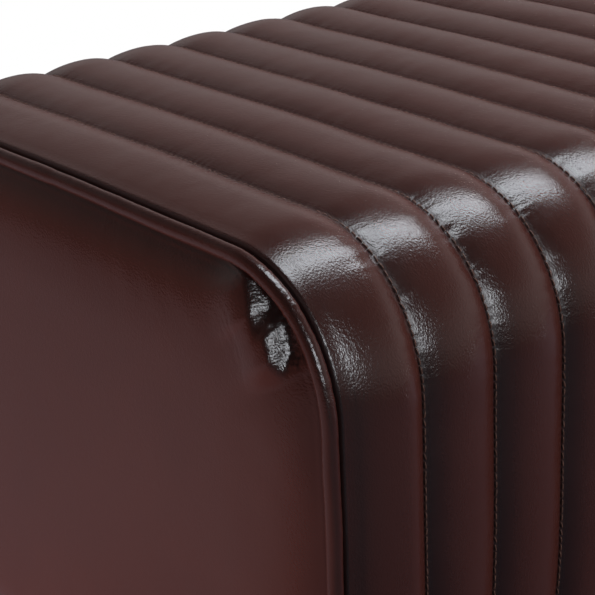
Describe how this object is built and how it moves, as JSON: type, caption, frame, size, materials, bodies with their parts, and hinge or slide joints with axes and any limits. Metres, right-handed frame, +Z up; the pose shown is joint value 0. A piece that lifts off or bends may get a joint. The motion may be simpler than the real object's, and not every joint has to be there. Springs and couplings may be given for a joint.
{
  "type": "upholstered bench",
  "caption": "Long padded bench in dark brown leather: channel-quilted cover over a soft rounded edge, smooth piped ends, timber box inside, short tapered wooden legs. For sitting.",
  "frame": {"origin": "on the floor under the middle of the bench", "axes": "+X along the bench, +Y towards its back, +Z up"},
  "size_m": [1.2272, 0.513, 0.458],
  "materials": {
    "leather": "semi-gloss finished leather, dark chocolate brown",
    "foam": "open cream foam",
    "plywood": "raw birch plywood",
    "softwood": "raw softwood",
    "steel": "zinc plated",
    "leg_wood": "dark stained and lacquered",
    "glide_plastic": "black moulded nylon",
    "dust_cloth": "thin black non-woven cloth"
  },
  "bodies": {
    "root": {"channel_cover": "leather", "left_end_panel": "leather", "right_end_panel": "leather", "left_piping": "leather", "right_piping": "leather", "seat_foam": "foam", "front_foam": "foam", "back_foam": "foam", "left_end_pad": "foam", "right_end_pad": "foam", "seat_deck": "plywood", "front_board": "plywood", "back_board": "plywood", "left_board": "plywood", "right_board": "plywood", "cross_brace_1": "plywood", "cross_brace_2": "plywood", "corner_post_front_left": "softwood", "corner_post_front_right": "softwood", "corner_post_back_left": "softwood", "corner_post_back_right": "softwood", "leg_block_front_left": "softwood", "leg_block_front_right": "softwood", "leg_block_back_left": "softwood", "leg_block_back_right": "softwood", "leg_plate_front_left": "steel", "leg_plate_front_right": "steel", "leg_plate_back_left": "steel", "leg_plate_back_right": "steel", "hanger_bolt_front_left": "steel", "hanger_bolt_front_right": "steel", "hanger_bolt_back_left": "steel", "hanger_bolt_back_right": "steel", "leg_front_left": "leg_wood", "leg_front_right": "leg_wood", "leg_back_left": "leg_wood", "leg_back_right": "leg_wood", "glide_front_left": "glide_plastic", "glide_front_right": "glide_plastic", "glide_back_left": "glide_plastic", "glide_back_right": "glide_plastic", "dust_cover": "dust_cloth"}
  },
  "joints": []
}
